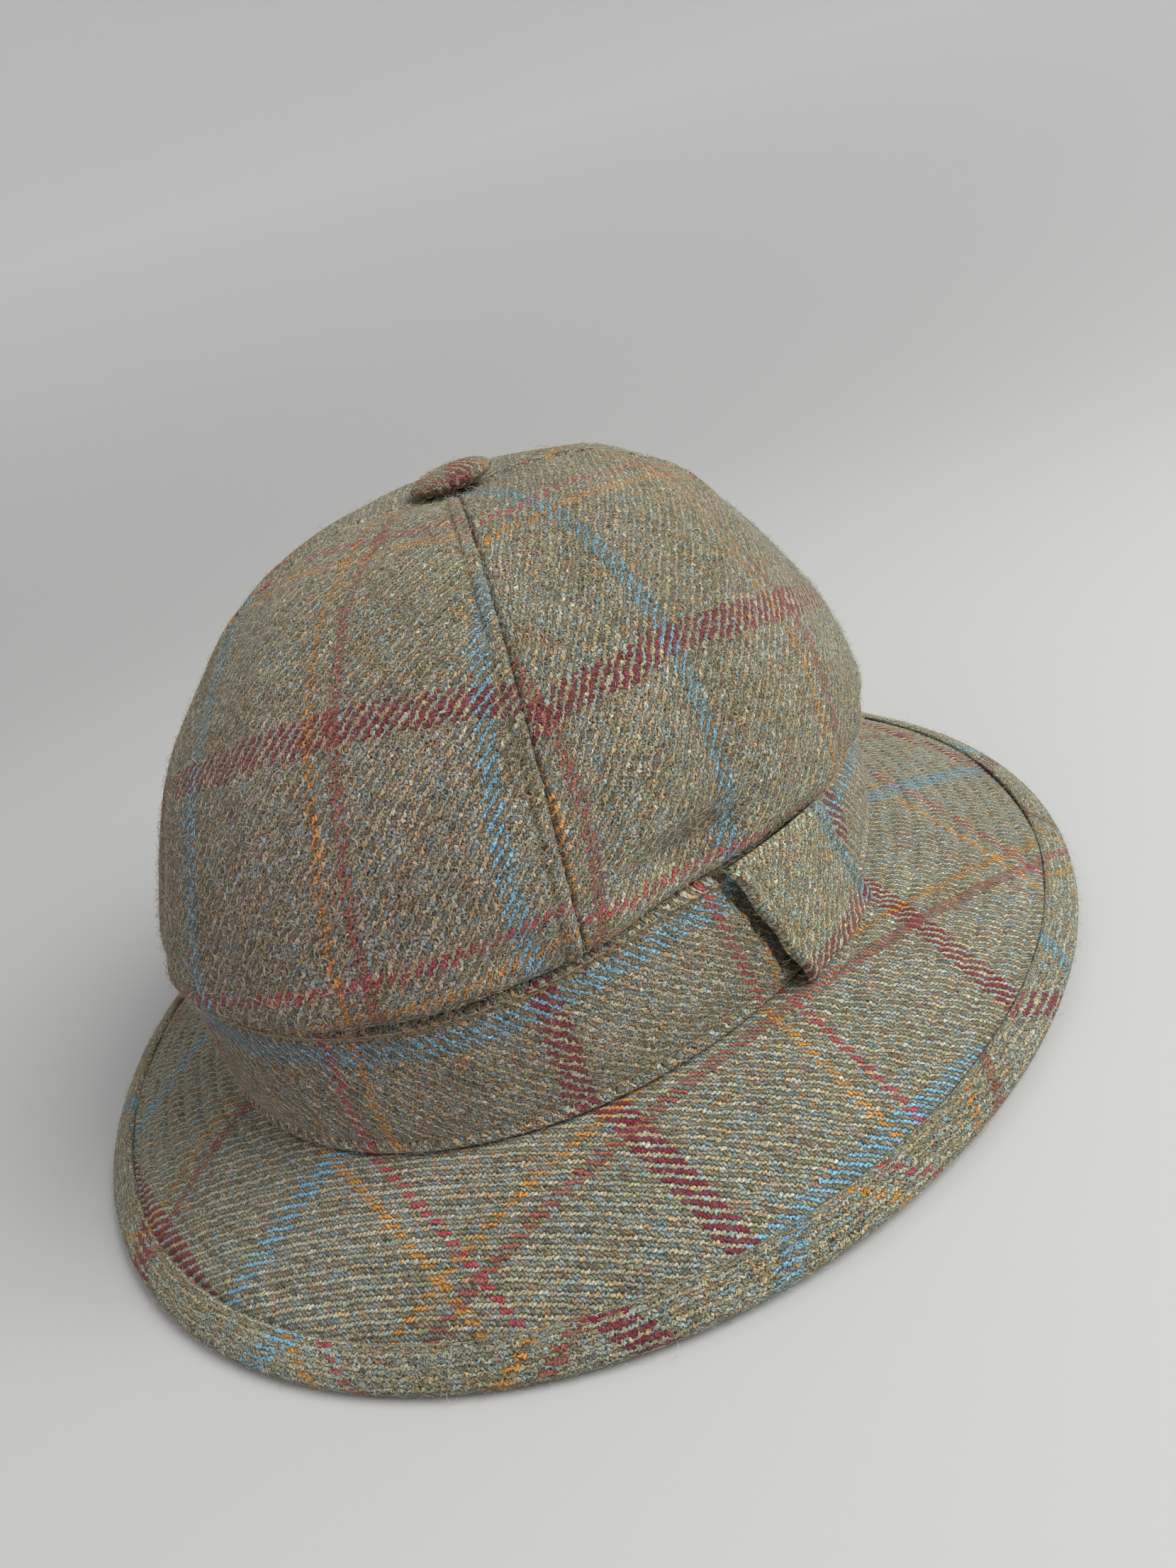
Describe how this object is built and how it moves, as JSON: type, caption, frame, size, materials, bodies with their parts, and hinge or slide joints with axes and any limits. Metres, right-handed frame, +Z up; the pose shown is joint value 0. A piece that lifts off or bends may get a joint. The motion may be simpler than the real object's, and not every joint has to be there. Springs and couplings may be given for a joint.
{
  "type": "tweed brimmed hat",
  "caption": "Soft tweed hat with a sewn dome crown of wedge panels, a covered top button, a folded band with a keeper loop, and a sloping stitched brim with a bound edge.",
  "frame": {"origin": "centre of the hat's outline, on the floor it rests on (bounding box bottom centre)", "axes": "+Z up, -Y towards the hat's front, +X towards the wearer's left"},
  "size_m": [0.271, 0.303, 0.1498],
  "materials": {
    "tweed_crown": "heathered olive-brown twill wool with a blue, orange, rust and maroon overcheck",
    "tweed_button": "the same tweed, its red and orange lines crossing on the button",
    "tweed_band": "the same tweed, folded at both edges",
    "tweed_loop": "the same tweed, folded thick",
    "tweed_brim": "the same tweed, stitched in rings with pale thread",
    "tweed_binding": "the same tweed, cut across and folded round the edge"
  },
  "bodies": {
    "root": {"crown_front": "tweed_crown", "crown_left": "tweed_crown", "crown_back": "tweed_crown", "crown_right": "tweed_crown", "crown_button": "tweed_button", "hat_band": "tweed_band", "band_loop": "tweed_loop", "brim": "tweed_brim", "brim_binding": "tweed_binding"}
  },
  "joints": []
}
